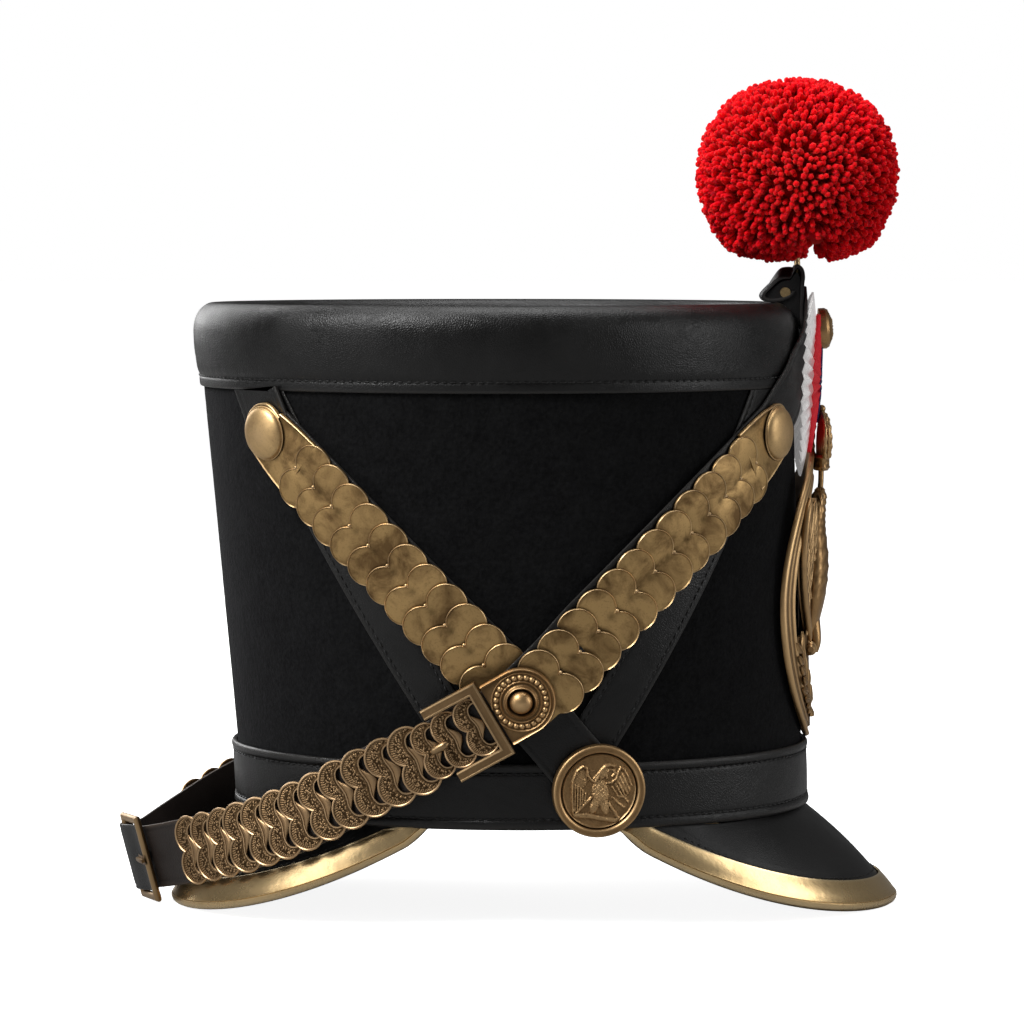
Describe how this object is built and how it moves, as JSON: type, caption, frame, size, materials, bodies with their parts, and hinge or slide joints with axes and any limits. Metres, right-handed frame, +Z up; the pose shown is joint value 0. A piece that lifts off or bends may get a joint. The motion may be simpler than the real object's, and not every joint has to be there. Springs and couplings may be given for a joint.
{
  "type": "shako hat",
  "caption": "Tall felt military hat with leather bands, brass-bound front and rear peaks, scale chains, chin strap, front plate, cockade and wool pompom.",
  "frame": {"origin": "middle of the hat's length and width, on the surface its peaks rest on", "axes": "+X is the front of the hat, +Z is up, +Y is the wearer's left"},
  "size_m": [0.2922, 0.2208, 0.307],
  "materials": {
    "felt": "matte black wool felt with a short fuzz",
    "leather": "satin black grained leather",
    "brown_leather": "satin dark brown leather",
    "aged_brass": "antique brass with a dark patina",
    "bright_brass": "polished golden brass",
    "white_cloth": "white pleated cloth",
    "red_cloth": "red pleated cloth",
    "blue_cloth": "dark blue cloth",
    "red_wool": "red wool yarn with cut ends"
  },
  "bodies": {
    "root": {"felt_body": "felt", "crown_top": "leather", "top_band": "leather", "lower_band": "leather", "side_chevron_front_right": "leather", "side_chevron_front_left": "leather", "side_chevron_rear_right": "leather", "side_chevron_rear_left": "leather", "front_peak": "leather", "rear_peak": "leather", "front_peak_binding": "bright_brass", "rear_peak_binding": "bright_brass", "rear_strap_right": "leather", "rear_strap_left": "leather", "front_strap_right": "leather", "front_strap_left": "leather", "rear_scale_chain_right": "aged_brass", "rear_scale_chain_left": "aged_brass", "front_scale_chain_right": "aged_brass", "front_scale_chain_left": "aged_brass", "rear_end_plate_right": "aged_brass", "rear_end_plate_left": "aged_brass", "front_end_plate_right": "aged_brass", "front_end_plate_left": "aged_brass", "rear_stud_right": "aged_brass", "rear_stud_left": "aged_brass", "front_stud_right": "aged_brass", "front_stud_left": "aged_brass", "crossing_rosette_right": "aged_brass", "crossing_rosette_left": "aged_brass", "side_button_right": "aged_brass", "side_button_left": "aged_brass", "chin_strap_right": "brown_leather", "chin_strap_left": "brown_leather", "chin_scale_chain_right": "aged_brass", "chin_scale_chain_left": "aged_brass", "side_buckle_right": "aged_brass", "side_buckle_left": "aged_brass", "side_buckle_tongue_right": "aged_brass", "side_buckle_tongue_left": "aged_brass", "rear_buckle": "aged_brass", "rear_buckle_prong": "aged_brass", "rear_buckle_chape": "leather", "front_plate": "aged_brass", "cockade_white": "white_cloth", "cockade_red": "red_cloth", "cockade_blue": "blue_cloth", "cockade_button": "aged_brass", "plume_loop": "leather", "plume_stem": "bright_brass", "pompom": "red_wool"}
  },
  "joints": []
}
